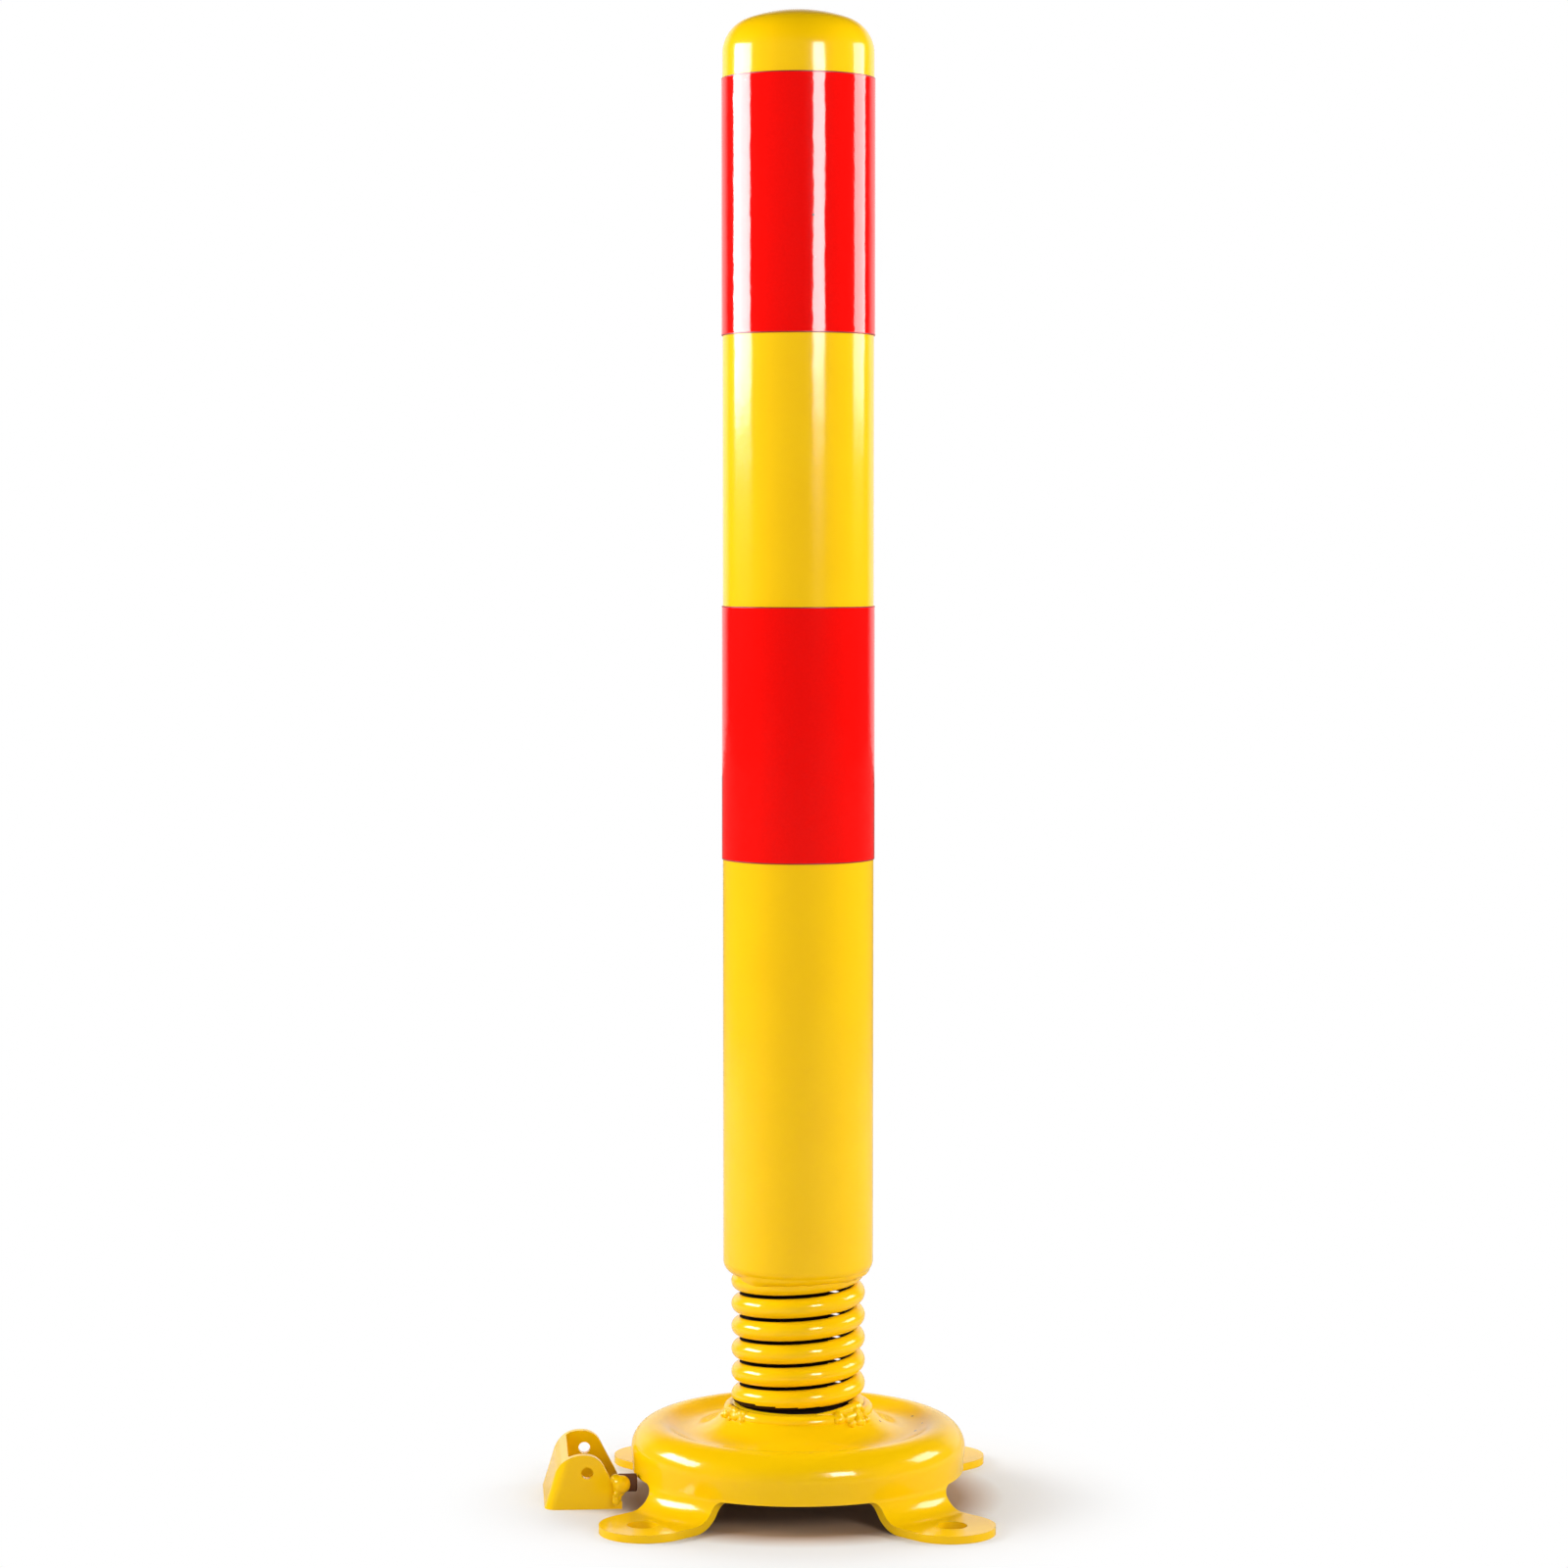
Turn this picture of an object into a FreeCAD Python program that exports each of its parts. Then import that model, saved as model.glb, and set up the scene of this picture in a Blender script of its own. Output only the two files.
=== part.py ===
"""A street bollard on a coil spring, bolted down through four feet.

The frame has +Z up and its origin on the ground, in the middle of the bolt circle.
The front is -Y. Lengths are in millimetres and angles in degrees.
"""

import FreeCAD, Part
import math
import os
import Sketcher

# Driving sizes, each set by itself
SIZES = {
    # Base pressing: one sheet, from the neck under the spring out to the feet
    "sheet_thickness": 4,
    "neck_height": 49,
    "neck_radius": 33.5,
    "neck_edge_radius": 5,
    "valley_radius": 52,
    "valley_height": 30,
    "valley_bend_radius": 20,
    "rim_radius": 87,
    "shoulder_height": 49.3,
    "shoulder_bend_radius": 13,
    "wall_inset": 4,
    "foot_bend_radius": 12,
    "rim_edge_height": 15,
    "foot_width": 46,
    "foot_end_setback": 2,
    "foot_corner_radius": 5,
    "bolt_circle_diameter": 215,
    "bolt_hole_diameter": 15,
    # Coil spring, ground flat at both ends
    "spring_outer_diameter": 68,
    "spring_wire": 10,
    "spring_pitch": 11.6,
    "spring_length": 66,
    "spring_tip": 2.2,
    "spring_start_angle": 330,
    # Post: tube, the cup that closes it below and the dome that closes it above
    "post_diameter": 76,
    "post_wall": 3,
    "post_tube_length": 601,
    "end_cap_depth": 10,
    "end_cap_edge_radius": 7,
    "dome_skirt": 2.5,
    "dome_height": 21.5,
    "dome_knuckle_radius": 18,
    # Reflective film round the tube
    "band_width": 127.5,
    "band_spacing": 262.5,
    "band_top_margin": 10,
    "film_thickness": 0.4,
    "film_glue": 0.1,
    # Side bracket beside the rim, and the short round bar across the gap from it to the rim
    "bracket_clearance": 6.5,
    "bracket_turn": 5,
    "bracket_shift": 9,
    "bracket_length": 39,
    "bracket_width": 60,
    "bracket_height": 27.5,
    "bracket_plate": 4,
    "bracket_bend_radius": 6,
    "web_lean": 17,
    "web_top_radius": 14,
    "cheek_lean": 27,
    "cheek_toe_height": 3.5,
    "cheek_top_radius": 10,
    "pin_hole_diameter": 6,
    "pin_hole_height": 18.5,
    "pin_hole_setback": 21.5,
    "bar_diameter": 9,
    "bar_drop": 2,
    # Clearance at both ends of the bar, and how far a cutter runs past its work
    "seat_gap": 0.3,
    "cut_margin": 5,
}

FOOT_ANGLES = (45, 135, 225, 315)
SAME_POINT = 1e-6

# Places that follow from the sizes, as expressions
POST_RADIUS = "sizes.post_diameter / 2"
FOOT_END = "(sizes.bolt_circle_diameter / 2 - sizes.foot_end_setback)"
FOOT_REACH = f"({FOOT_END} + sizes.foot_width / 2)"
WALL_FOOT_RADIUS = "(sizes.rim_radius - sizes.wall_inset)"
WALL_TAPER = "(sizes.wall_inset / (sizes.shoulder_height - sizes.sheet_thickness))"
RIM_EDGE_RADIUS = f"({WALL_FOOT_RADIUS} + {WALL_TAPER} * (sizes.rim_edge_height - sizes.sheet_thickness))"
SPRING_TOP = "(sizes.neck_height + sizes.spring_length)"
TUBE_BOTTOM = f"({SPRING_TOP} + sizes.end_cap_depth)"
TUBE_TOP = f"({TUBE_BOTTOM} + sizes.post_tube_length)"
UPPER_BAND_BOTTOM = f"({TUBE_TOP} - sizes.band_top_margin - sizes.band_width)"
LOWER_BAND_BOTTOM = f"({UPPER_BAND_BOTTOM} - sizes.band_spacing)"
FILM_INNER_RADIUS = f"({POST_RADIUS} + sizes.film_glue)"
TOE_PLACE = f"(-{RIM_EDGE_RADIUS} - sizes.bracket_clearance)"
WEB_PLACE = f"({TOE_PLACE} - sizes.bracket_length)"
CHEEK_MIDDLE = "(sizes.bracket_plate - sizes.bracket_width) / 2"
BAR_RADIUS = "(sizes.bar_diameter / 2)"
BAR_HEIGHT = "(sizes.rim_edge_height - sizes.bar_drop)"
BAR_RISE = f"({BAR_HEIGHT} - {BAR_RADIUS} - sizes.cheek_toe_height)"
BAR_START = f"({TOE_PLACE} - {BAR_RISE} * tan(sizes.cheek_lean) + sizes.seat_gap / cos(sizes.cheek_lean))"
BAR_SIDE = f"({CHEEK_MIDDLE} + sizes.bracket_shift + sqrt({BAR_RADIUS}^2 - sizes.bar_drop^2))"
BAR_END = f"(-sqrt({RIM_EDGE_RADIUS}^2 - {BAR_SIDE}^2) - sizes.seat_gap)"

doc = FreeCAD.newDocument("spring_bollard")
sheet = doc.addObject("Spreadsheet::Sheet", "sizes")
for row, (alias, number) in enumerate(SIZES.items(), start=1):
    sheet.set(f"A{row}", alias)
    sheet.set(f"B{row}", str(number))
    sheet.setAlias(f"B{row}", alias)
doc.recompute()


def value(expression):
    """The number that an expression on the sheet's sizes gives."""
    return float(sheet.evalExpression(expression.replace("sizes.", "")))


def bind(item, **expressions):
    """Tie properties to sizes; a double underscore in a name stands for a dot."""
    for name, expression in expressions.items():
        item.setExpression(name.replace("__", "."), expression)


def body_with(name):
    """An empty body under its own name."""
    body = doc.addObject("PartDesign::Body", name)
    body.Label = name
    return body


def sketch_on(body, role, name):
    """A sketch on one of the body's own origin planes."""
    sketch = body.newObject("Sketcher::SketchObject", name)
    plane = next(item for item in body.Origin.OriginFeatures if item.Role == role)
    sketch.AttachmentSupport = [(plane, "")]
    sketch.MapMode = "FlatFace"
    return sketch


def section_sketch(name):
    """A free sketch in the XZ plane, for the line that a pressed sheet follows."""
    sketch = doc.addObject("Sketcher::SketchObject", name)
    upright = FreeCAD.Rotation(FreeCAD.Vector(1, 0, 0), 90)
    sketch.Placement = FreeCAD.Placement(FreeCAD.Vector(0, 0, 0), upright)
    return sketch


def hold(sketch, kind, *where, size):
    """Add a dimension to a sketch and tie it to an expression."""
    index = sketch.addConstraint(Sketcher.Constraint(kind, *where, value(size)))
    sketch.setExpression(f"Constraints[{index}]", size)


def place(sketch, geometry, point, x, y):
    """Hold a point of a sketch at the place that two expressions give."""
    hold(sketch, "DistanceX", -1, 1, geometry, point, size=x)
    hold(sketch, "DistanceY", -1, 1, geometry, point, size=y)


def join(sketch, kind, *where):
    """Add a constraint that needs no size."""
    sketch.addConstraint(Sketcher.Constraint(kind, *where))


def circle(sketch, x, y, radius):
    """A circle with its centre and radius tied to the sheet."""
    centre = FreeCAD.Vector(value(x), value(y), 0)
    up = FreeCAD.Vector(0, 0, 1)
    ring = sketch.addGeometry(Part.Circle(centre, up, value(radius)), False)
    place(sketch, ring, 3, x, y)
    hold(sketch, "Radius", ring, size=radius)


def bend_points(before, corner, after, radius):
    """Start, middle and end of the arc that rounds a corner between two straight runs."""
    back = (before - corner).normalize()
    ahead = (after - corner).normalize()
    half_angle = back.getAngle(ahead) / 2
    reach = radius / math.tan(half_angle)
    inward = (back + ahead).normalize()
    crown = radius / math.sin(half_angle) - radius
    return corner + back * reach, corner + inward * crown, corner + ahead * reach


def add_bend(sketch, points, before, after, radius):
    """An arc of a given radius, tangent to the run before it and the run after it."""
    arc = sketch.addGeometry(Part.Arc(*points), False)
    starts_first = sketch.getPoint(arc, 1).isEqual(points[0], SAME_POINT)
    entry, leave = (1, 2) if starts_first else (2, 1)
    join(sketch, "Tangent", before, 2, arc, entry)
    join(sketch, "Tangent", arc, leave, after, 1)
    hold(sketch, "Radius", arc, size=radius)


def path(sketch, corners, closed=True):
    """Straight runs from corner to corner, rounded where a corner has a radius.

    A corner is an expression for x, one for y, and one for its radius or None.
    """
    count = len(corners)
    at = [FreeCAD.Vector(value(x), value(y), 0) for x, y, radius in corners]
    bends = {}
    for i, (x, y, radius) in enumerate(corners):
        if radius:
            bends[i] = bend_points(at[i - 1], at[i], at[(i + 1) % count], value(radius))
    runs = []
    for i in range(count if closed else count - 1):
        j = (i + 1) % count
        start = bends[i][2] if i in bends else at[i]
        end = bends[j][0] if j in bends else at[j]
        runs.append(sketch.addGeometry(Part.LineSegment(start, end), False))
    for i, (x, y, radius) in enumerate(corners):
        before = runs[i - 1] if closed or i > 0 else None
        after = runs[i] if closed or i < count - 1 else None
        if radius:
            corner = sketch.addGeometry(Part.Point(at[i]), True)
            place(sketch, corner, 1, x, y)
            join(sketch, "PointOnObject", corner, 1, before)
            join(sketch, "PointOnObject", corner, 1, after)
            add_bend(sketch, bends[i], before, after, radius)
        elif after is None:
            place(sketch, before, 2, x, y)
        else:
            place(sketch, after, 1, x, y)
            if before is not None:
                join(sketch, "Coincident", before, 2, after, 1)


def pressed_sheet(name, line, thickness):
    """Give a section line its sheet thickness and turn it about the post's axis."""
    section = doc.addObject("Part::Offset2D", f"{name}_section")
    section.Source = line
    section.Fill = True
    section.Mode = "Skin"
    bind(section, Value=thickness)
    turned = doc.addObject("Part::Revolution", name)
    turned.Source = section
    turned.Axis = FreeCAD.Vector(0, 0, 1)
    turned.Angle = 360
    turned.Solid = True
    return turned


def sleeve(name, inner, outer, bottom, length):
    """A round tube about the post's axis."""
    body = body_with(name)
    rings = sketch_on(body, "XY_Plane", f"{name}_rings")
    circle(rings, "0", "0", outer)
    circle(rings, "0", "0", inner)
    pad = body.newObject("PartDesign::Pad", f"{name}_pad")
    pad.Profile = rings
    bind(pad, Length=length)
    bind(body, Placement__Base__z=bottom)
    return body


def make_dish():
    """The pressed dish before its feet are cut: neck, valley, shoulder, wall and a full brim."""
    line = section_sketch("dish_line")
    brim = f"{FOOT_REACH} + sizes.cut_margin"
    corners = [
        ("0", "sizes.neck_height", None),
        ("sizes.neck_radius", "sizes.neck_height", "sizes.neck_edge_radius"),
        ("sizes.valley_radius", "sizes.valley_height", "sizes.valley_bend_radius"),
        ("sizes.rim_radius", "sizes.shoulder_height", "sizes.shoulder_bend_radius"),
        (WALL_FOOT_RADIUS, "sizes.sheet_thickness", "sizes.foot_bend_radius"),
        (brim, "sizes.sheet_thickness", None),
    ]
    path(line, corners, closed=False)
    return pressed_sheet("dish_sheet", line, "-sizes.sheet_thickness")


def foot_pair(name, angle):
    """The plan of two opposite feet: a bar with round ends, set back a little from its two bolt holes."""
    body = body_with(name)
    plan = sketch_on(body, "XY_Plane", f"{name}_plan")
    reach = value(FOOT_END)
    half = value("sizes.foot_width / 2")
    up = FreeCAD.Vector(0, 0, 1)
    ends = []
    for side, start in ((1, -math.pi / 2), (-1, math.pi / 2)):
        ring = Part.Circle(FreeCAD.Vector(side * reach, 0, 0), up, half)
        end = sketch_arc(plan, ring, start)
        place(plan, end, 3, f"{side} * {FOOT_END}", "0")
        ends.append(end)
    hold(plan, "Radius", ends[0], size="sizes.foot_width / 2")
    join(plan, "Equal", ends[0], ends[1])
    for here, there in (ends, reversed(ends)):
        start = plan.getPoint(here, 2)
        finish = plan.getPoint(there, 1)
        edge = plan.addGeometry(Part.LineSegment(start, finish), False)
        join(plan, "Tangent", here, 2, edge, 1)
        join(plan, "Tangent", edge, 2, there, 1)
    pad = body.newObject("PartDesign::Pad", f"{name}_pad")
    pad.Profile = plan
    bind(pad, Length="sizes.rim_edge_height + 3 * sizes.cut_margin")
    bind(body, Placement__Base__z="-2 * sizes.cut_margin")
    body.Placement.Rotation = FreeCAD.Rotation(up, angle)
    return body


def sketch_arc(sketch, ring, start):
    """Half of a circle, counter-clockwise from a start angle."""
    return sketch.addGeometry(Part.ArcOfCircle(ring, start, start + math.pi), False)


def upright_cylinder(name, radius, bottom, height):
    """A cylinder with its axis along Z."""
    cylinder = doc.addObject("Part::Cylinder", name)
    bind(cylinder, Radius=radius, Height=height, Placement__Base__z=bottom)
    return cylinder


def cut(name, base, tool):
    """One solid with another taken away."""
    result = doc.addObject("Part::Cut", name)
    result.Base = base
    result.Tool = tool
    return result


def fuse(name, solids):
    """Several solids as one tool."""
    result = doc.addObject("Part::MultiFuse", name)
    result.Shapes = solids
    return result


def space_between_feet():
    """The block that clears the wall and brim between the feet, with rounded upper corners."""
    below = "-sizes.cut_margin"
    height = "sizes.rim_edge_height + sizes.cut_margin"
    block = upright_cylinder("skirt_block", f"{FOOT_REACH} + 3 * sizes.cut_margin", below, height)
    pairs = [foot_pair(f"foot_pair_{angle}", angle) for angle in FOOT_ANGLES[:2]]
    space = cut("between_feet", block, fuse("feet_plan", pairs))
    doc.recompute()
    level = value("sizes.rim_edge_height")
    radius = value("sizes.foot_corner_radius")
    rounded = doc.addObject("Part::Fillet", "between_feet_rounded")
    rounded.Base = space
    rounded.Edges = [
        (number, radius, radius)
        for number, edge in enumerate(space.Shape.Edges, start=1)
        if edge.Curve.TypeId == "Part::GeomLine"
        and all(abs(corner.Z - level) < SAME_POINT for corner in edge.Vertexes)
    ]
    return rounded


def make_base_pressing():
    """The dish with the spaces between its feet cleared and a bolt hole through each foot."""
    holes = []
    for angle in FOOT_ANGLES:
        hole = upright_cylinder(
            f"bolt_hole_{angle}",
            "sizes.bolt_hole_diameter / 2",
            "-sizes.cut_margin",
            "sizes.sheet_thickness + 2 * sizes.cut_margin",
        )
        bind(hole, Placement__Base__x=f"sizes.bolt_circle_diameter / 2 * cos({angle})")
        bind(hole, Placement__Base__y=f"sizes.bolt_circle_diameter / 2 * sin({angle})")
        holes.append(hole)
    footed = cut("dish_with_feet", make_dish(), space_between_feet())
    return cut("base_pressing", footed, fuse("bolt_holes", holes))


def make_coil_spring():
    """A right-hand helix of round wire, ground flat where it seats on the neck and on the post."""
    wire = body_with("spring_wire_coil")
    section = sketch_on(wire, "XZ_Plane", "wire_section")
    mean_radius = "(sizes.spring_outer_diameter - sizes.spring_wire) / 2"
    circle(section, mean_radius, "0", "sizes.spring_wire / 2")
    helix = wire.newObject("PartDesign::AdditiveHelix", "wire_helix")
    helix.Profile = section
    helix.ReferenceAxis = (section, ["V_Axis"])
    helix.Mode = "pitch-height-angle"
    bind(helix, Pitch="sizes.spring_pitch")
    bind(helix, Height="sizes.spring_length + sizes.spring_wire - 2 * sizes.spring_tip")
    bind(wire, Placement__Base__z="sizes.neck_height + sizes.spring_tip - sizes.spring_wire / 2")
    up = FreeCAD.Vector(0, 0, 1)
    wire.Placement.Rotation = FreeCAD.Rotation(up, value("sizes.spring_start_angle"))
    between = upright_cylinder(
        "between_seats", "sizes.spring_outer_diameter", "sizes.neck_height", "sizes.spring_length"
    )
    spring = doc.addObject("Part::Common", "coil_spring")
    spring.Base = wire
    spring.Tool = between
    return spring


def make_lower_end_cap():
    """A cup with a rounded edge: the flat underneath takes the spring, the rim meets the tube."""
    line = section_sketch("lower_end_cap_line")
    corners = [
        ("0", SPRING_TOP, None),
        (POST_RADIUS, SPRING_TOP, "sizes.end_cap_edge_radius"),
        (POST_RADIUS, TUBE_BOTTOM, None),
    ]
    path(line, corners, closed=False)
    return pressed_sheet("lower_end_cap", line, "sizes.post_wall")


def make_domed_cap():
    """A dished end: a short skirt, a tight knuckle and a shallow crown that reaches the axis level."""
    line = section_sketch("domed_cap_line")
    radius = value(POST_RADIUS)
    foot = value(TUBE_TOP)
    spring_line = foot + value("sizes.dome_skirt")
    height = value("sizes.dome_height")
    knuckle = value("sizes.dome_knuckle_radius")
    inset = radius - knuckle
    crown = (inset**2 / (height - knuckle) + height + knuckle) / 2
    top = spring_line + height
    tilt = math.asin(inset / (crown - knuckle))
    up = FreeCAD.Vector(0, 0, 1)
    knuckle_ring = Part.Circle(FreeCAD.Vector(inset, spring_line, 0), up, knuckle)
    crown_ring = Part.Circle(FreeCAD.Vector(0, top - crown, 0), up, crown)
    meet = math.pi / 2 - tilt
    skirt = line.addGeometry(
        Part.LineSegment(FreeCAD.Vector(radius, foot, 0), FreeCAD.Vector(radius, spring_line, 0)), False
    )
    bend = line.addGeometry(Part.ArcOfCircle(knuckle_ring, 0, meet), False)
    cap = line.addGeometry(Part.ArcOfCircle(crown_ring, meet, math.pi / 2), False)
    place(line, skirt, 1, POST_RADIUS, TUBE_TOP)
    join(line, "Vertical", skirt)
    hold(line, "DistanceY", skirt, 1, skirt, 2, size="sizes.dome_skirt")
    join(line, "Tangent", skirt, 2, bend, 1)
    hold(line, "Radius", bend, size="sizes.dome_knuckle_radius")
    join(line, "Tangent", bend, 2, cap, 1)
    join(line, "PointOnObject", cap, 3, -2)
    place(line, cap, 2, "0", f"{TUBE_TOP} + sizes.dome_skirt + sizes.dome_height")
    return pressed_sheet("domed_cap", line, "sizes.post_wall")


def make_post_tube():
    """The tube between its two caps."""
    bore = f"{POST_RADIUS} - sizes.post_wall"
    return sleeve("post_tube", bore, POST_RADIUS, TUBE_BOTTOM, "sizes.post_tube_length")


def make_reflective_bands():
    """Two wraps of film, the same width, set down from the top of the tube."""
    outside = f"{FILM_INNER_RADIUS} + sizes.film_thickness"
    bottoms = {"lower_reflective_band": LOWER_BAND_BOTTOM, "upper_reflective_band": UPPER_BAND_BOTTOM}
    return [
        sleeve(name, FILM_INNER_RADIUS, outside, bottom, "sizes.band_width")
        for name, bottom in bottoms.items()
    ]


def set_beside_rim(body):
    """Turn a body about the post's axis and shift it along the rim, to the bracket's place."""
    bind(body, Placement__Base__x="-sizes.bracket_shift * sin(sizes.bracket_turn)")
    bind(body, Placement__Base__y="sizes.bracket_shift * cos(sizes.bracket_turn)")
    up = FreeCAD.Vector(0, 0, 1)
    body.Placement.Rotation = FreeCAD.Rotation(up, value("sizes.bracket_turn"))


def make_side_bracket():
    """A plate folded to a U in plan: a leaning web on the left, two arched cheeks with a pin hole each."""
    body = body_with("side_bracket")
    half = "sizes.bracket_width / 2"
    inner_half = f"({half} - sizes.bracket_plate)"
    inner_web = f"({WEB_PLACE} + sizes.bracket_plate / cos(sizes.web_lean))"
    inner_bend = "sizes.bracket_bend_radius - sizes.bracket_plate"
    plan = sketch_on(body, "XY_Plane", "bracket_plan")
    corners = [
        (TOE_PLACE, half, None),
        (WEB_PLACE, half, "sizes.bracket_bend_radius"),
        (WEB_PLACE, f"-{half}", "sizes.bracket_bend_radius"),
        (TOE_PLACE, f"-{half}", None),
        (TOE_PLACE, f"-{inner_half}", None),
        (inner_web, f"-{inner_half}", inner_bend),
        (inner_web, inner_half, inner_bend),
        (TOE_PLACE, inner_half, None),
    ]
    path(plan, corners)
    fold = body.newObject("PartDesign::Pad", "bracket_fold")
    fold.Profile = plan
    fold.UseCustomVector = True
    fold.AlongSketchNormal = True
    fold.Direction = FreeCAD.Vector(math.tan(math.radians(value("sizes.web_lean"))), 0, 1)
    bind(fold, Length="sizes.bracket_height")
    doc.recompute()

    side = sketch_on(body, "XZ_Plane", "bracket_side")
    left = f"{WEB_PLACE} - sizes.cut_margin"
    right = f"{TOE_PLACE} + sizes.bracket_height"
    above = "sizes.bracket_height + sizes.cut_margin"
    below = "-sizes.cut_margin"
    frame = [(left, below, None), (right, below, None), (right, above, None), (left, above, None)]
    path(side, frame)
    cheek_rise = "(sizes.bracket_height - sizes.cheek_toe_height)"
    top_right = f"{TOE_PLACE} - {cheek_rise} * tan(sizes.cheek_lean)"
    top_left = f"{WEB_PLACE} + sizes.bracket_height * tan(sizes.web_lean)"
    cheek = [
        (WEB_PLACE, "0", None),
        (TOE_PLACE, "0", None),
        (TOE_PLACE, "sizes.cheek_toe_height", None),
        (top_right, "sizes.bracket_height", "sizes.cheek_top_radius"),
        (top_left, "sizes.bracket_height", "sizes.web_top_radius"),
    ]
    path(side, cheek)
    trim = body.newObject("PartDesign::Pocket", "bracket_trim")
    trim.Profile = side
    trim.Type = "ThroughAll"
    trim.Midplane = True
    doc.recompute()

    pin = sketch_on(body, "XZ_Plane", "pin_hole_place")
    circle(pin, f"{WEB_PLACE} + sizes.pin_hole_setback", "sizes.pin_hole_height", "sizes.pin_hole_diameter / 2")
    hole = body.newObject("PartDesign::Pocket", "pin_hole")
    hole.Profile = pin
    hole.Type = "ThroughAll"
    hole.Midplane = True
    doc.recompute()
    volumes = [feature.Shape.Volume for feature in (fold, trim, hole)]
    if not volumes[0] > volumes[1] > volumes[2]:
        raise RuntimeError(f"a cut in the bracket missed: {volumes}")
    set_beside_rim(body)
    return body


def make_bracket_cross_bar():
    """A short round bar across the gap between the bracket's near cheek and the edge of the rim."""
    body = body_with("bracket_cross_bar")
    section = sketch_on(body, "YZ_Plane", "bar_section")
    bind(section, AttachmentOffset__Base__z=BAR_START)
    circle(section, CHEEK_MIDDLE, BAR_HEIGHT, BAR_RADIUS)
    bar = body.newObject("PartDesign::Pad", "bar_length")
    bar.Profile = section
    bind(bar, Length=f"{BAR_END} - {BAR_START}")
    set_beside_rim(body)
    return body


pieces = [
    make_base_pressing(),
    make_coil_spring(),
    make_lower_end_cap(),
    make_post_tube(),
    make_domed_cap(),
    *make_reflective_bands(),
    make_side_bracket(),
    make_bracket_cross_bar(),
]
doc.recompute()

for item in doc.Objects:
    if "Invalid" in item.State or "Error" in item.State:
        raise RuntimeError(f"{item.Label} failed: {item.State}")
for piece in pieces:
    if piece.Shape.isNull() or not piece.Shape.isValid() or len(piece.Shape.Solids) != 1:
        raise RuntimeError(f"{piece.Label} is not one valid solid")

os.makedirs("parts", exist_ok=True)
for piece in pieces:
    piece.Shape.exportStep(f"parts/{piece.Label}.step")
    box = piece.Shape.BoundBox
    print(f"{piece.Label}: {piece.Shape.Volume:.0f} mm3, z {box.ZMin:.2f} to {box.ZMax:.2f}")
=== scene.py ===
"""Looks of a street bollard on a coil spring: gloss enamel over steel, with two bands of red film.

Lengths are in metres. Section lines are given as (radius, height) about the post's axis.
"""

import math
import random

import bmesh
import bpy
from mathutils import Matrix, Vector


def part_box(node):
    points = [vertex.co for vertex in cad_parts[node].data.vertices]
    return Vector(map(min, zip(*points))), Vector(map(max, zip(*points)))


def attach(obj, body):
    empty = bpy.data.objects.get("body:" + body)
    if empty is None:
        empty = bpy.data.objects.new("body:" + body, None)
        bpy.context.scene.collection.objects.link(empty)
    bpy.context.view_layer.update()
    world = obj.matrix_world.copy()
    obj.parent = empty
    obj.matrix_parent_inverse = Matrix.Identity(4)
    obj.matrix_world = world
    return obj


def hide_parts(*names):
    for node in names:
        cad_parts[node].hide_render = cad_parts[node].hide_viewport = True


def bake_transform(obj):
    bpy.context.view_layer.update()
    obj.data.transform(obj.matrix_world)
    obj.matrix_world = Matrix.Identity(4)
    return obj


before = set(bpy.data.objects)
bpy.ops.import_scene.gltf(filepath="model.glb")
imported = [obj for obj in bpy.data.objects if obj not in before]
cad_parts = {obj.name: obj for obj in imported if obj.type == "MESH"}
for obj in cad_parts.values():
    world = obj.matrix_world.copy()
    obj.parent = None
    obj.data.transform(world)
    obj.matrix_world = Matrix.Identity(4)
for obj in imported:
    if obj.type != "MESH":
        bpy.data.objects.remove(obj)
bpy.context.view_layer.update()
MM = 0.001

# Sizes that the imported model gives
TUBE_LOW, TUBE_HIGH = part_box("post_tube")
POST_RADIUS = TUBE_HIGH.x
POST_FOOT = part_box("lower_end_cap")[0].z
POST_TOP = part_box("domed_cap")[1].z
SPRING_LOW, SPRING_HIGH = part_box("coil_spring")
FILM_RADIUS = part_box("upper_reflective_band")[1].x
BAR_LOW, BAR_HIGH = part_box("bracket_cross_bar")

# Post: the rounded lower end, and the dome's skirt, knuckle and crown
END_EDGE_RADIUS = 7 * MM
DOME_SKIRT = 2.5 * MM
KNUCKLE_RADIUS = 18 * MM
POST_COLUMNS = 128

# Film
FILM_THICKNESS = 0.4 * MM
FILM_EDGE_LINE = 0.6 * MM

# Coil spring
WIRE_RADIUS = 5 * MM
COIL_RADIUS = 29 * MM
COIL_PITCH = 11.6 * MM
COIL_START_ANGLE = math.radians(330)
COIL_START_HEIGHT = 46.2 * MM
COIL_RISE = 71.6 * MM
COIL_STEPS_PER_TURN = 72
WIRE_SIDES = 36

# Spray on the coil: the radius it reaches in the gaps, how much deeper it goes at the right, the bearings in
# degrees between which that sets in, and the height above the seat below which downward faces stay bare;
# the dark bare steel left there is also painted shade in the gaps between the turns and under the lowest turn
PAINT_REACH = 29.5 * MM
PAINT_DEEPER = 0.8 * MM
DEEPER_START = 25
DEEPER_END = 75
BARE_FOOT = 3.4 * MM
DOWNWARD = -0.3

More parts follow.
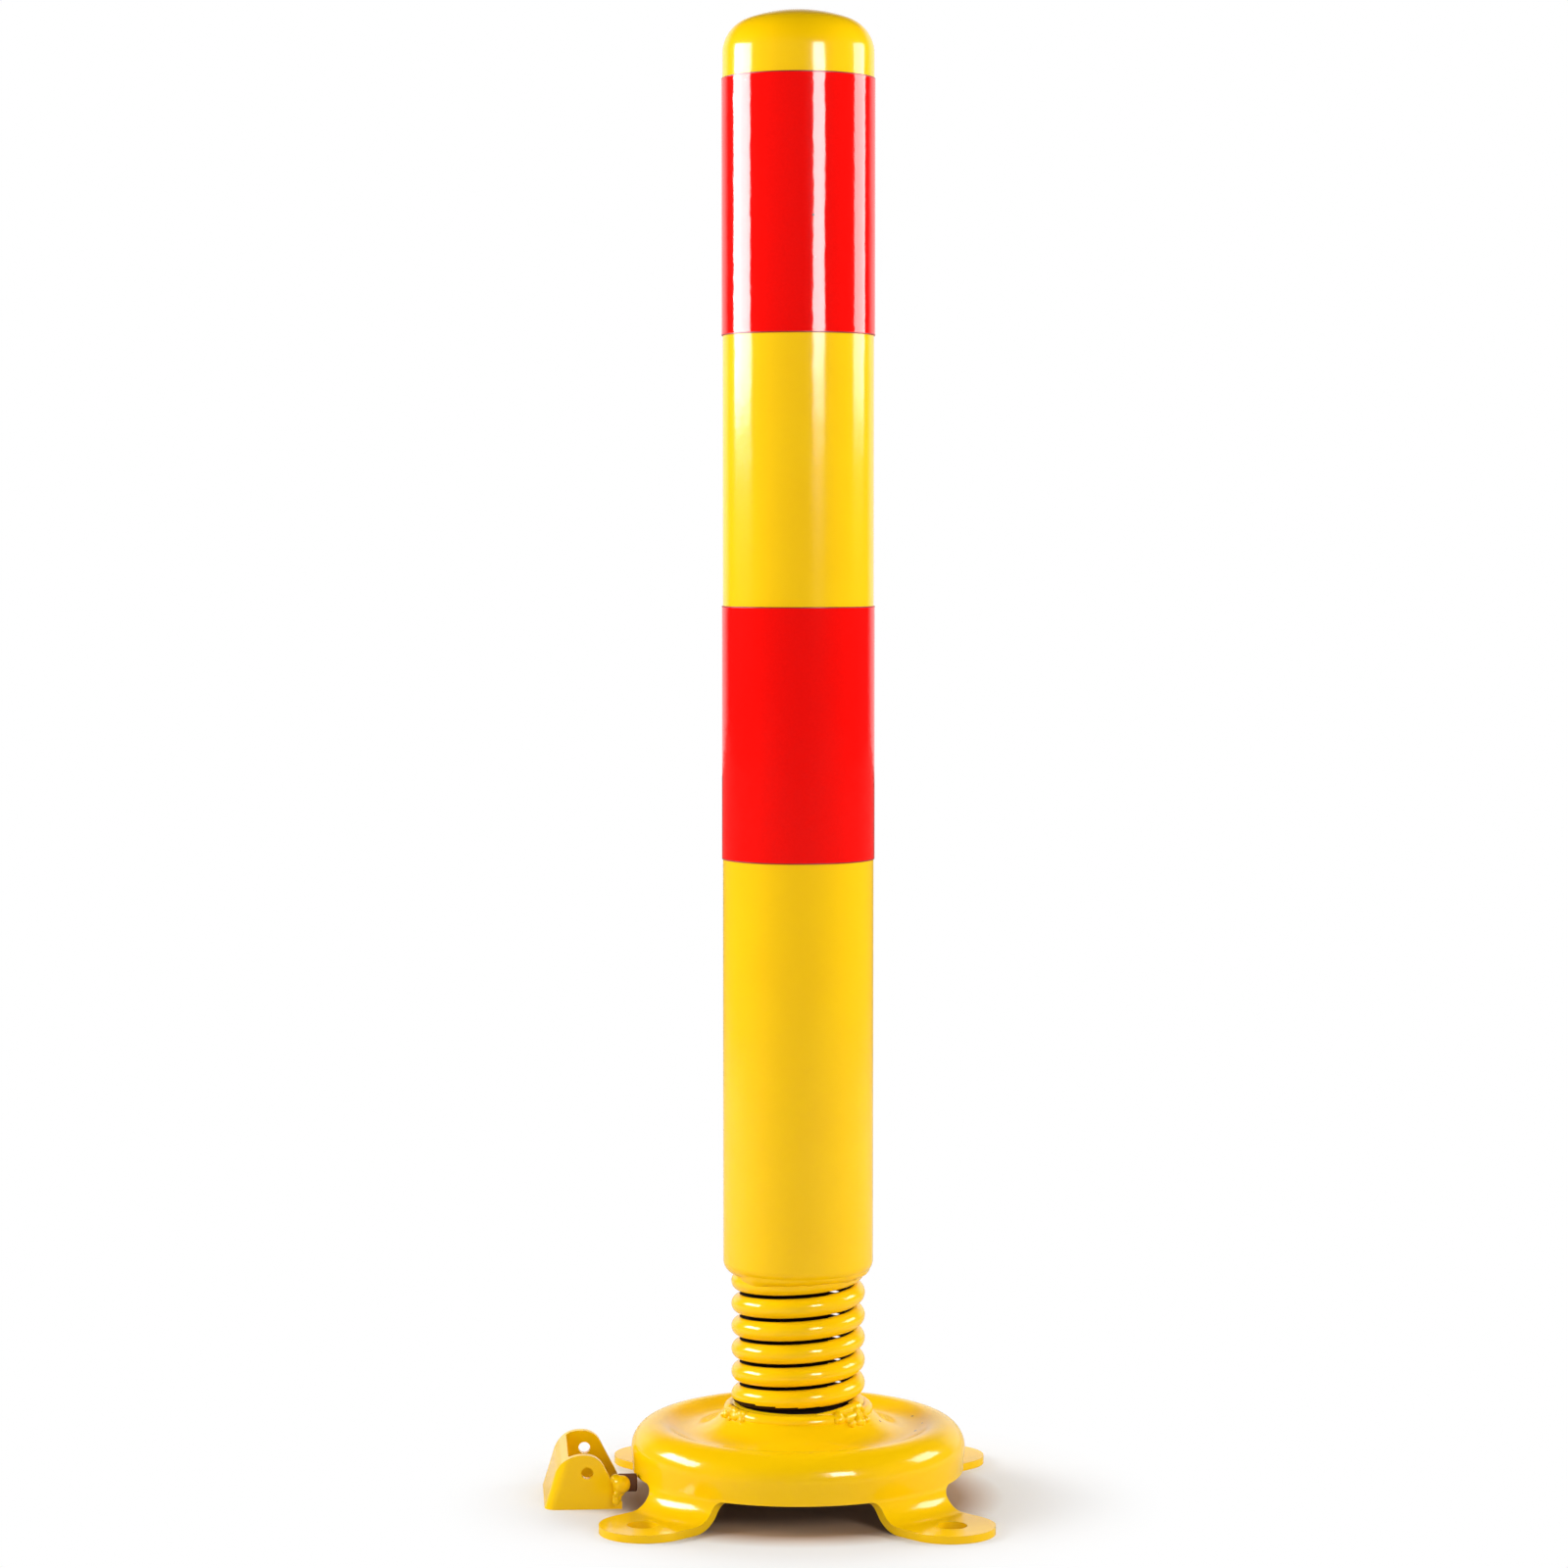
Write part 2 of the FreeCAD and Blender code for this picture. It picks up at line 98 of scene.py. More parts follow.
# Base pressing: corners of its section as (radius, height, bend radius), its rim and its feet
SHEET = 4 * MM
NECK_HEIGHT = 49 * MM
NECK_RING_RADIUS = 15 * MM
SEAT_RADIUS = 31.6 * MM
DISH_CORNERS = [
    (33.5 * MM, NECK_HEIGHT, 5 * MM),
    (52 * MM, 30 * MM, 20 * MM),
    (87 * MM, 49.3 * MM, 13 * MM),
    (83 * MM, SHEET, 12 * MM),
]
CREST_RADIUS = 72.5 * MM
RIM_EDGE_HEIGHT = 15 * MM
FOOT_HALF_WIDTH = 23 * MM
FOOT_CORNER_RADIUS = 5 * MM
FOOT_FLAT_START = 97 * MM
FOOT_END_CENTRE = 105.5 * MM
BOLT_CIRCLE_RADIUS = 107.5 * MM
BOLT_HOLE_RADIUS = 7.5 * MM
FOOT_ANGLES = [math.radians(a) for a in (45, 135, 225, 315)]
COLUMNS_PER_FOOT = 24
COLUMNS_PER_ARCH = 24
SHEET_EDGE_RADIUS = 0.9 * MM

# Side bracket
PLATE_EDGE_RADIUS = 0.8 * MM

# Welds: the run under the post, then the bead, tacks and wedge round the neck, with bearings in degrees
POST_WELD_START = math.radians(214)
POST_WELD_END = math.radians(420)
POST_WELD_TOP_RADIUS = 36.6 * MM
POST_WELD_TOP_HEIGHT = 117.9 * MM
POST_WELD_FOOT_RADIUS = 33.9 * MM
POST_WELD_BULGE = 0.5 * MM
SEAT_BEAD_RADIUS = 34.6 * MM
SEAT_BEAD_HALF_WIDTH = 3.4 * MM
SEAT_BEAD_HEIGHT = 45.3 * MM
TACK_BEARINGS = (211, 319, 90)
TACK_HALF_SPREAD = 19
DROPS_PER_TACK = 17
TACK_RADIUS = 35 * MM
WEDGE_DROPS = 15
WEDGE_RADIUS = 32.6 * MM
WEDGE_START = 284
WEDGE_SWEEP = 50
BAR_DROPS = 9
WELD_GRAIN = 0.4 * MM

# Shading: faces that meet at less than this angle, in degrees, look like one surface
SMOOTH_BELOW = 40

# Floor: where its painted warm shade round the axis, a brown for the shadow under the base lit by the yellow
# paint's bounce, turns neutral, and where its turn to white starts and ends
PAINTED_WARM_SHADE_END = 82 * MM
NEUTRAL_START = 105 * MM
WHITE_START = 85 * MM
WHITE_END = 190 * MM

# Camera, at the photograph's viewing angle
CAMERA_PLACE = (0.012, -1.9852, 0.4879)
CAMERA_TIP = math.radians(90 - 3.58)
CAMERA_TURN = math.radians(0.554)
CAMERA_LENS_MM = 90.54
CAMERA_SENSOR_MM = 36


# Helpers that several pieces share


def select_only(piece):
    """Leave one object selected and active, in object mode."""
    bpy.ops.object.select_all(action="DESELECT")
    piece.select_set(True)
    bpy.context.view_layer.objects.active = piece


def modify(piece, kind, **settings):
    """Add a modifier with its settings and apply it."""
    select_only(piece)
    bpy.ops.object.modifier_add(type=kind)
    modifier = piece.modifiers[-1]
    for name, setting in settings.items():
        setattr(modifier, name, setting)
    bpy.ops.object.modifier_apply(modifier=modifier.name)


def smooth(piece, degrees):
    """Shade a piece smooth, apart from edges sharper than an angle."""
    select_only(piece)
    bpy.ops.object.shade_smooth_by_angle(angle=math.radians(degrees))


def close_up(piece):
    """Merge what meets and turn the faces outward."""
    select_only(piece)
    bpy.ops.object.mode_set(mode="EDIT")
    bpy.ops.mesh.select_all(action="SELECT")
    bpy.ops.mesh.remove_doubles(threshold=1e-6)
    bpy.ops.mesh.normals_make_consistent(inside=False)
    bpy.ops.object.mode_set(mode="OBJECT")


def rounded(corners, step=math.radians(6)):
    """A section line through corners (radius, height, bend radius), each bend drawn as an arc."""
    points = []
    for i, (radius, height, bend) in enumerate(corners):
        corner = Vector((radius, height))
        if not bend:
            points.append(corner)
            continue
        back = (Vector(corners[i - 1][:2]) - corner).normalized()
        ahead = (Vector(corners[i + 1][:2]) - corner).normalized()
        half = back.angle(ahead) / 2
        centre = corner + (back + ahead).normalized() * bend / math.sin(half)
        start = back * bend / math.tan(half) + corner - centre
        end = ahead * bend / math.tan(half) + corner - centre
        first = math.atan2(start.y, start.x)
        sweep = math.remainder(math.atan2(end.y, end.x) - first, math.tau)
        count = max(3, round(abs(sweep) / step))
        for k in range(count + 1):
            angle = first + sweep * k / count
            points.append(centre + Vector((math.cos(angle), math.sin(angle))) * bend)
    return points


def about_axis(radius, angle, height):
    """A point at a radius and an angle round the post's axis."""
    return Vector((radius * math.cos(angle), radius * math.sin(angle), height))


def line_of(name, points):
    """A line drawn point by point: one vertex, extruded along the section."""
    bpy.ops.object.select_all(action="DESELECT")
    bpy.ops.mesh.primitive_plane_add(size=1 * MM)
    piece = bpy.context.object
    piece.name = name
    bpy.ops.object.mode_set(mode="EDIT")
    bpy.ops.mesh.merge(type="CENTER")
    place = Vector((0, 0))
    for i, point in enumerate(points):
        move = (point.x - place.x, 0, point.y - place.y)
        if i == 0:
            bpy.ops.transform.translate(value=move)
        else:
            bpy.ops.mesh.extrude_vertices_move(TRANSFORM_OT_translate={"value": move})
        place = point
    bpy.ops.object.mode_set(mode="OBJECT")
    return piece


def turned(name, points, columns):
    """A section line spun once round the post's axis."""
    piece = line_of(name, points)
    bpy.ops.object.mode_set(mode="EDIT")
    bpy.ops.mesh.select_all(action="SELECT")
    bpy.ops.mesh.spin(steps=columns, angle=math.tau, center=(0, 0, 0), axis=(0, 0, 1))
    bpy.ops.object.mode_set(mode="OBJECT")
    close_up(piece)
    return piece


def trim(piece, height, keep_above):
    """Cut a piece level at a height and close the cut."""
    select_only(piece)
    bpy.ops.object.mode_set(mode="EDIT")
    bpy.ops.mesh.select_all(action="SELECT")
    bpy.ops.mesh.bisect(
        plane_co=(0, 0, height),
        plane_no=(0, 0, 1),
        use_fill=True,
        clear_inner=keep_above,
        clear_outer=not keep_above,
    )
    bpy.ops.object.mode_set(mode="OBJECT")


# Post and film


def make_painted_post():
    """The post as paint joins it: rounded lower end, tube and dome in one skin with no seam."""
    dome_foot = TUBE_HIGH.z + DOME_SKIRT
    height = POST_TOP - dome_foot
    inset = POST_RADIUS - KNUCKLE_RADIUS
    crown = (inset**2 / (height - KNUCKLE_RADIUS) + height + KNUCKLE_RADIUS) / 2
    meet = math.acos(inset / (crown - KNUCKLE_RADIUS))
    lower_end = [(0, POST_FOOT, 0), (POST_RADIUS, POST_FOOT, END_EDGE_RADIUS), (POST_RADIUS, TUBE_LOW.z, 0)]
    points = rounded(lower_end)
    tube_rows = 12
    arc_steps = 12
    for k in range(1, tube_rows + 1):
        points.append(Vector((POST_RADIUS, TUBE_LOW.z + (dome_foot - TUBE_LOW.z) * k / tube_rows)))
    for k in range(1, arc_steps + 1):
        angle = meet * k / arc_steps
        radius = inset + KNUCKLE_RADIUS * math.cos(angle)
        points.append(Vector((radius, dome_foot + KNUCKLE_RADIUS * math.sin(angle))))
    for k in range(1, arc_steps + 1):
        angle = meet + (math.pi / 2 - meet) * k / arc_steps
        points.append(Vector((crown * math.cos(angle), POST_TOP - crown + crown * math.sin(angle))))
    points[-1].x = 0
    piece = turned("painted_post", points, POST_COLUMNS)
    smooth(piece, SMOOTH_BELOW)
    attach(piece, "post")
    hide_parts("lower_end_cap", "post_tube", "domed_cap")
    return piece


def make_film_wrap(name, node):
    """One wrap of film: a thin sleeve round the post, with a narrow strip along each cut edge for a line of
    painted shade.
    """
    low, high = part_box(node)
    inner = FILM_RADIUS - FILM_THICKNESS
    edge = FILM_THICKNESS / 4
    points = [
        Vector((inner, low.z)),
        Vector((FILM_RADIUS - edge, low.z)),
        Vector((FILM_RADIUS, low.z + edge)),
        Vector((FILM_RADIUS, low.z + FILM_EDGE_LINE)),
        Vector((FILM_RADIUS, high.z - FILM_EDGE_LINE)),
        Vector((FILM_RADIUS, high.z - edge)),
        Vector((FILM_RADIUS - edge, high.z)),
        Vector((inner, high.z)),
    ]
    piece = turned(name, points, POST_COLUMNS)
    smooth(piece, SMOOTH_BELOW)
    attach(piece, "post")
    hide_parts(node)
    return piece


# Coil spring


def coil_height(angle, turn):
    """Height of the wire's middle at an angle round the post, on a given turn."""
    return COIL_START_HEIGHT + COIL_PITCH * (turn + (angle - COIL_START_ANGLE) / math.tau)


def make_spring_halves():
    """Round wire wound up a helix, ground flat at its seats and cut at mid height into two halves."""
    bpy.ops.object.select_all(action="DESELECT")
    bpy.ops.mesh.primitive_circle_add(
        vertices=WIRE_SIDES,
        radius=WIRE_RADIUS,
        location=(
            COIL_RADIUS * math.cos(COIL_START_ANGLE),
            COIL_RADIUS * math.sin(COIL_START_ANGLE),
            COIL_START_HEIGHT,
        ),
        rotation=(math.pi / 2, 0, COIL_START_ANGLE),
    )
    whole = bpy.context.object
    whole.name = "spring_lower_half"
    bpy.ops.object.transform_apply(location=True, rotation=True, scale=True)
    turns = COIL_RISE / COIL_PITCH
    steps = round(turns * COIL_STEPS_PER_TURN)
    modify(
        whole,
        "SCREW",
        axis="Z",
        angle=turns * math.tau,
        screw_offset=COIL_RISE,
        iterations=1,
        steps=steps,
        render_steps=steps,
    )
    close_up(whole)
    for height, keep_above in ((SPRING_LOW.z, True), (SPRING_HIGH.z, False)):
        trim(whole, height, keep_above)
    other = whole.copy()
    other.data = whole.data.copy()
    other.name = "spring_upper_half"
    bpy.context.collection.objects.link(other)
    middle = (SPRING_LOW.z + SPRING_HIGH.z) / 2
    trim(whole, middle, False)
    trim(other, middle, True)
    for piece in (whole, other):
        smooth(piece, SMOOTH_BELOW)
        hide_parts("coil_spring")
    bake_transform(whole)
    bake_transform(other)
    return [whole, other]


# Base and bracket


def foot_half_width(height):
    """Half the width of a foot at a height: straight below, and rounded out to the rim's edge above."""
    rise = min(max(height - RIM_EDGE_HEIGHT + FOOT_CORNER_RADIUS, 0), FOOT_CORNER_RADIUS)
    return FOOT_HALF_WIDTH + FOOT_CORNER_RADIUS - math.sqrt(FOOT_CORNER_RADIUS**2 - rise**2)


def base_section():
    """The sheet's upper side from the axis to a foot's flat, and which of its points is the rim's edge."""
    line = rounded([(0, NECK_HEIGHT, 0), *DISH_CORNERS, (FOOT_FLAT_START, SHEET, 0)], math.radians(4))
    line.insert(1, Vector((NECK_RING_RADIUS, NECK_HEIGHT)))
    rim = next(i for i, p in enumerate(line) if p.x > CREST_RADIUS and p.y < RIM_EDGE_HEIGHT)
    above = line[rim - 1]
    below = line[rim]
    edge = above.lerp(below, (above.y - RIM_EDGE_HEIGHT) / (above.y - below.y))
    corner_rows = (0.04, 0.15, 0.35, 0.65)
    line[rim:rim] = [edge] + [edge.lerp(below, share) for share in corner_rows]
    return line, rim


def far_side(line):
    """The sheet's underside: each point of its upper side moved square to the line by the thickness."""
    moved = []
    for i, point in enumerate(line):
        run = (line[min(i + 1, len(line) - 1)] - line[max(i - 1, 0)]).normalized()
        moved.append(point + Vector((run.y, -run.x)) * SHEET)
    return moved


def make_base(coats):
    """The pressed base as one sheet: a turned dish, four feet drawn down and out, and a ring round each hole.

    The coats are the sprayed enamel, the rusted hollow side, whose dark brown is also painted shade under the
    dish, the bare seat under the spring, dark as painted shade below the lowest turn, and a line of dirt and
    painted shade along the cut edges.
    """
    shaded_hollow_side, shaded_spring_seat, shaded_cut_edge = 1, 2, 3
    line, rim = base_section()
    under_line = far_side(line)
    half_angle = math.asin(foot_half_width(RIM_EDGE_HEIGHT) / line[rim].x)
    columns = []
    for middle in FOOT_ANGLES:
        for k in range(COLUMNS_PER_FOOT):
            columns.append(middle + half_angle * (2 * k / COLUMNS_PER_FOOT - 1))
        for k in range(COLUMNS_PER_ARCH):
            columns.append(middle + half_angle + (math.pi / 2 - 2 * half_angle) * k / COLUMNS_PER_ARCH)

    sheet = bmesh.new()
    under = {}

    def add_point(upper_place, lower_place):
        vert = sheet.verts.new(upper_place)
        under[vert] = lower_place
        return vert

    def skin(inner, outer):
        for k in range(len(inner) - 1):
            sheet.faces.new((inner[k], outer[k], outer[k + 1], inner[k + 1]))

    pole = add_point(about_axis(0, 0, line[0].y), about_axis(0, 0, under_line[0].y))
    rings = []
    for p, q in zip(line[1 : rim + 1], under_line[1 : rim + 1]):
        ring = []
        for angle in columns:
            ring.append(add_point(about_axis(p.x, angle, p.y), about_axis(q.x, angle, q.y)))
        rings.append(ring)
    for k, vert in enumerate(rings[0]):
        sheet.faces.new((pole, vert, rings[0][(k + 1) % len(columns)]))
    for inner, outer in zip(rings, rings[1:]):
        skin(inner + inner[:1], outer + outer[:1])

    for number, middle in enumerate(FOOT_ANGLES):
        first = number * (COLUMNS_PER_FOOT + COLUMNS_PER_ARCH)
        last_row = rings[-1][first : first + COLUMNS_PER_FOOT + 1]
        for p, q in zip(line[rim + 1 :], under_line[rim + 1 :]):
            next_row = []
            for k in range(COLUMNS_PER_FOOT + 1):
                side = foot_half_width(p.y) * (2 * k / COLUMNS_PER_FOOT - 1)
                upper = about_axis(p.x, middle + math.asin(side / p.x), p.y)
                lower = about_axis(q.x, middle + math.asin(side / q.x), q.y)
                next_row.append(add_point(upper, lower))
            skin(last_row, next_row)
            last_row = next_row
        add_foot_end(sheet, add_point, middle, last_row)

    upper_faces = list(sheet.faces)
    cut_edges = [tuple(edge.verts) for edge in sheet.edges if edge.is_boundary]
    twin = {vert: sheet.verts.new(place) for vert, place in under.items()}
    for face in upper_faces:
        # Painted shade: the underside wears the rusty coat, whose dark brown also darkens the shade seen
        # under the dish
        sheet.faces.new([twin[vert] for vert in reversed(face.verts)]).material_index = shaded_hollow_side
        # Painted shade: the neck's top under the spring wears dark bare steel, for the shade in the gap below
        # the lowest turn
        if max(vert.co.xy.length for vert in face.verts) < SEAT_RADIUS:
            face.material_index = shaded_spring_seat
    for start, end in cut_edges:
        sheet.faces.new((start, end, twin[end], twin[start]))

    piece = from_mesh(sheet, "painted_base")
    for coat in coats:
        piece.data.materials.append(coat)
    # The rounded edges wear a broken dark line: dirt, and painted shade along the edges and at the feet's
    # outline on the floor
    soften_edges(piece, SHEET_EDGE_RADIUS, degrees=50, coat=shaded_cut_edge)
    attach(piece, "base")
    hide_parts("base_pressing")
    return piece


def add_foot_end(sheet, add_point, middle, start_row):
    """The flat end of a foot: its sides and round end, and rings from that outline in to the bolt hole."""
    along = Vector((math.cos(middle), math.sin(middle), 0))
    across = Vector((-math.sin(middle), math.cos(middle), 0))
    down = Vector((0, 0, -SHEET))
    hole = along * BOLT_CIRCLE_RADIUS - down
    corner = start_row[-1].co.dot(along)
    side_steps = 5
    end_steps = 28
    ring_steps = 2
    outline = []
    for k in range(1, side_steps):
        reach = corner + (FOOT_END_CENTRE - corner) * k / side_steps
        outline.append(along * reach + across * FOOT_HALF_WIDTH)
    back_side = [point - across * 2 * FOOT_HALF_WIDTH for point in reversed(outline)]
    for k in range(end_steps + 1):
        angle = math.pi / 2 - math.pi * k / end_steps
        arm = along * math.cos(angle) + across * math.sin(angle)
        outline.append(along * FOOT_END_CENTRE + arm * FOOT_HALF_WIDTH)
    ring = start_row + [add_point(point - down, point) for point in outline + back_side]
    arms = [vert.co - hole for vert in ring]
    for k in range(1, ring_steps + 1):
        places = [hole + arm.lerp(arm.normalized() * BOLT_HOLE_RADIUS, k / ring_steps) for arm in arms]
        inner = [add_point(place, place + down) for place in places]
        for i in range(len(ring)):
            j = (i + 1) % len(ring)
            sheet.faces.new((ring[i], inner[i], inner[j], ring[j]))
        ring = inner


def from_mesh(sheet, name):
    """A new object from drawn faces, with what meets merged and its faces turned outward."""
    mesh = bpy.data.meshes.new(name)
    sheet.to_mesh(mesh)
    sheet.free()
    piece = bpy.data.objects.new(name, mesh)
    bpy.context.collection.objects.link(piece)
    close_up(piece)
    return piece


def soften_edges(piece, radius, degrees, coat=-1):
    """Round the edges sharper than an angle, as paint does, and keep the faces beside them flat to the eye.

    The rounding takes the coat of the faces beside it, unless it is given one of its own.
    """
    modify(
        piece,
        "BEVEL",
        limit_method="ANGLE",
        angle_limit=math.radians(degrees),
        width=radius,
        segments=3,
        material=coat,
    )
    smooth(piece, SMOOTH_BELOW)
    modify(piece, "WEIGHTED_NORMAL", keep_sharp=True)


def make_softened_copy(name, node, edge_radius):
    """A packed plate as it looks under paint: the same form with its edges rounded."""
    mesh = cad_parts[node].data.copy()
    mesh.materials.clear()
    piece = bpy.data.objects.new(name, mesh)
    bpy.context.collection.objects.link(piece)
    select_only(piece)
    bpy.ops.object.mode_set(mode="EDIT")
    bpy.ops.mesh.select_all(action="SELECT")
    bpy.ops.mesh.remove_doubles(threshold=1e-5)
    bpy.ops.mesh.dissolve_limited(angle_limit=math.radians(0.5))
    bpy.ops.object.mode_set(mode="OBJECT")
    soften_edges(piece, edge_radius, degrees=40)
    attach(piece, "base")
    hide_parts(node)
    return piece


# Welds


def make_weld(name, body, drops, grain):
    """A weld under paint: drops (place, radius) laid over one another, then fused and softened."""
    bpy.ops.object.select_all(action="DESELECT")
    place, radius = drops[0]
    bpy.ops.mesh.primitive_uv_sphere_add(segments=16, ring_count=8, radius=radius, location=place)
    piece = bpy.context.object
    piece.name = name
    bpy.ops.object.transform_apply(location=True)
    bpy.ops.object.mode_set(mode="EDIT")
    for place, radius in drops[1:]:
        bpy.ops.mesh.primitive_uv_sphere_add(segments=16, ring_count=8, radius=radius, location=place)
    bpy.ops.object.mode_set(mode="OBJECT")
    modify(piece, "REMESH", mode="VOXEL", voxel_size=grain)
    modify(piece, "SMOOTH", factor=0.5, iterations=5)
    smooth(piece, degrees=180)
    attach(piece, body)
    return piece


def make_post_weld(chance):
    """The weld in the corner between the post's rounded end and the top turn: a shallow, lumpy fillet."""
    columns = 150
    ripples = 34
    lumps = [chance.uniform(-0.35, 0.55) * MM for k in range(ripples + 1)]
    last_turn = 6
    taper = 12
    bulge_steps = 6
    below_seat = 0.8 * MM
    toe_rise = 0.2 * MM
    into_post = Vector((-5 * MM, 1.5 * MM))
    into_wire = Vector((-4 * MM, 1 * MM))
    outward = Vector((0.8, -0.6))
    bead = bmesh.new()
    rings = []
    for k in range(columns + 1):
        share = k / columns
        angle = POST_WELD_START + (POST_WELD_END - POST_WELD_START) * share
        spot = share * ripples
        before = min(int(spot), ripples - 1)
        ease = (1 - math.cos(math.pi * (spot - before))) / 2
        lump = lumps[before] * (1 - ease) + lumps[before + 1] * ease
        ends = min(1.0, taper * share, taper * (1 - share))
        strand = min(coil_height(angle, last_turn), SPRING_HIGH.z - below_seat)
        upper = Vector((POST_WELD_TOP_RADIUS, POST_WELD_TOP_HEIGHT + lump))
        lower = Vector((POST_WELD_FOOT_RADIUS, strand + toe_rise + lump))
        section = [upper + into_post, upper]
        for step in range(1, bulge_steps):
            bulge = math.sin(math.pi * step / bulge_steps) * (POST_WELD_BULGE + lump) * ends
            section.append(upper.lerp(lower, step / bulge_steps) + outward * bulge)
        section += [lower, lower + into_wire]
        middle = sum(section, Vector((0, 0))) / len(section)
        section = [middle.lerp(point, 0.3 + 0.7 * ends) for point in section]
        rings.append([bead.verts.new(about_axis(p.x, angle, p.y)) for p in section])
    for here, there in zip(rings, rings[1:]):
        for i in range(len(here)):
            j = (i + 1) % len(here)
            bead.faces.new((here[i], here[j], there[j], there[i]))
    bead.faces.new(rings[0])
    bead.faces.new(rings[-1])
    piece = from_mesh(bead, "post_weld")
    smooth(piece, degrees=60)
    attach(piece, "post")
    return piece


def make_seat_bead():
    """The even bead that ties the spring's lowest turn to the neck, all round below the first gap."""
    bpy.ops.object.select_all(action="DESELECT")
    bpy.ops.mesh.primitive_torus_add(
        major_radius=SEAT_BEAD_RADIUS,
        minor_radius=SEAT_BEAD_HALF_WIDTH,
        major_segments=POST_COLUMNS,
        minor_segments=24,
        location=(0, 0, SEAT_BEAD_HEIGHT),
    )
    piece = bpy.context.object
    piece.name = "seat_weld"
    bpy.ops.object.transform_apply(location=True)
    smooth(piece, degrees=60)
    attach(piece, "base")
    return piece


def make_welds():
    """The welds: a bead, three lumpy tacks and a wedge round the neck, the post's run, and the bar's blob."""
    chance = random.Random(7)
    tacks = []
    neck_slope = 0.75
    for middle in TACK_BEARINGS:
        for k in range(DROPS_PER_TACK):
            angle = math.radians(middle + chance.uniform(-TACK_HALF_SPREAD, TACK_HALF_SPREAD))
            drop = chance.uniform(0.5, 5.5) * MM
            place = about_axis(TACK_RADIUS + drop * neck_slope, angle, NECK_HEIGHT - 0.5 * MM - drop)
            tacks.append((place, chance.uniform(1.6, 2.7) * MM))
    for k in range(WEDGE_DROPS):
        share = k / (WEDGE_DROPS - 1)
        angle = math.radians(WEDGE_START + WEDGE_SWEEP * share)
        place = about_axis(WEDGE_RADIUS, angle, NECK_HEIGHT - (1 - share) * 0.8 * MM)
        tacks.append((place, (1 + 2.4 * share) * MM))
    bar_front = Vector((BAR_LOW.x + 2.6 * MM, BAR_LOW.y + 1 * MM, (BAR_LOW.z + BAR_HIGH.z) / 2))
    blob = [(bar_front, 4.6 * MM), (bar_front + Vector((-3, 0.5, 2.4)) * MM, 2.8 * MM)]
    for k in range(BAR_DROPS):
        drop = chance.uniform(0, 1)
        sink = Vector((-1 - 2 * drop + chance.uniform(-1.5, 1.5), chance.uniform(-1.5, 1.5), -9 * drop)) * MM
        blob.append((bar_front + sink, chance.uniform(1.6, 2.4) * MM))
    return [
        make_seat_bead(),
        make_post_weld(chance),
        make_weld("neck_weld_tacks", "base", tacks, WELD_GRAIN),
        make_weld("bar_weld", "base", blob, WELD_GRAIN),
    ]


# Finishes


def linear(code):
    """An sRGB hex colour as linear red, green, blue and alpha."""
    channels = [int(code[i : i + 2], 16) / 255 for i in (1, 3, 5)]
    return [c / 12.92 if c <= 0.04045 else ((c + 0.055) / 1.055) ** 2.4 for c in channels] + [1.0]


def add_node(tree, kind, inputs=None, **settings):
    """Add a node, set its settings, and fill its inputs with links or values."""
    node = tree.nodes.new(kind)
    for name, setting in settings.items():
        setattr(node, name, setting)
    for name, source in (inputs or {}).items():
        socket = node.inputs[name]
        if isinstance(source, bpy.types.NodeSocket):
            tree.links.new(source, socket)
        else:
            socket.default_value = source
    return node


def new_material(name):
    """An empty node material with its shader and output."""
    material = bpy.data.materials.new(name)
    material.use_nodes = True
    tree = material.node_tree
    tree.nodes.clear()
    shader = add_node(tree, "ShaderNodeBsdfPrincipled")
    add_node(tree, "ShaderNodeOutputMaterial", {"Surface": shader.outputs["BSDF"]})
    return material, tree, shader


def add_marks(tree, place, marks):
    """How much of a surface lies in one of a few small round marks, each (x, y, z, radius) in millimetres."""
    share = 0.0
    for x, y, z, radius in marks:
        reach = add_node(
            tree, "ShaderNodeVectorMath", {0: place, 1: (x * MM, y * MM, z * MM)}, operation="DISTANCE"
        )
        inside = add_node(
            tree,
            "ShaderNodeMapRange",
            {
                "Value": reach.outputs["Value"],
                "From Min": 0.5 * radius * MM,
                "From Max": radius * MM,
                "To Min": 1.0,
                "To Max": 0.0,
            },
        )
        joined = add_node(
            tree, "ShaderNodeMath", {0: inside.outputs["Result"], 1: share}, operation="MAXIMUM"
        )
        share = joined.outputs["Value"]
    return share


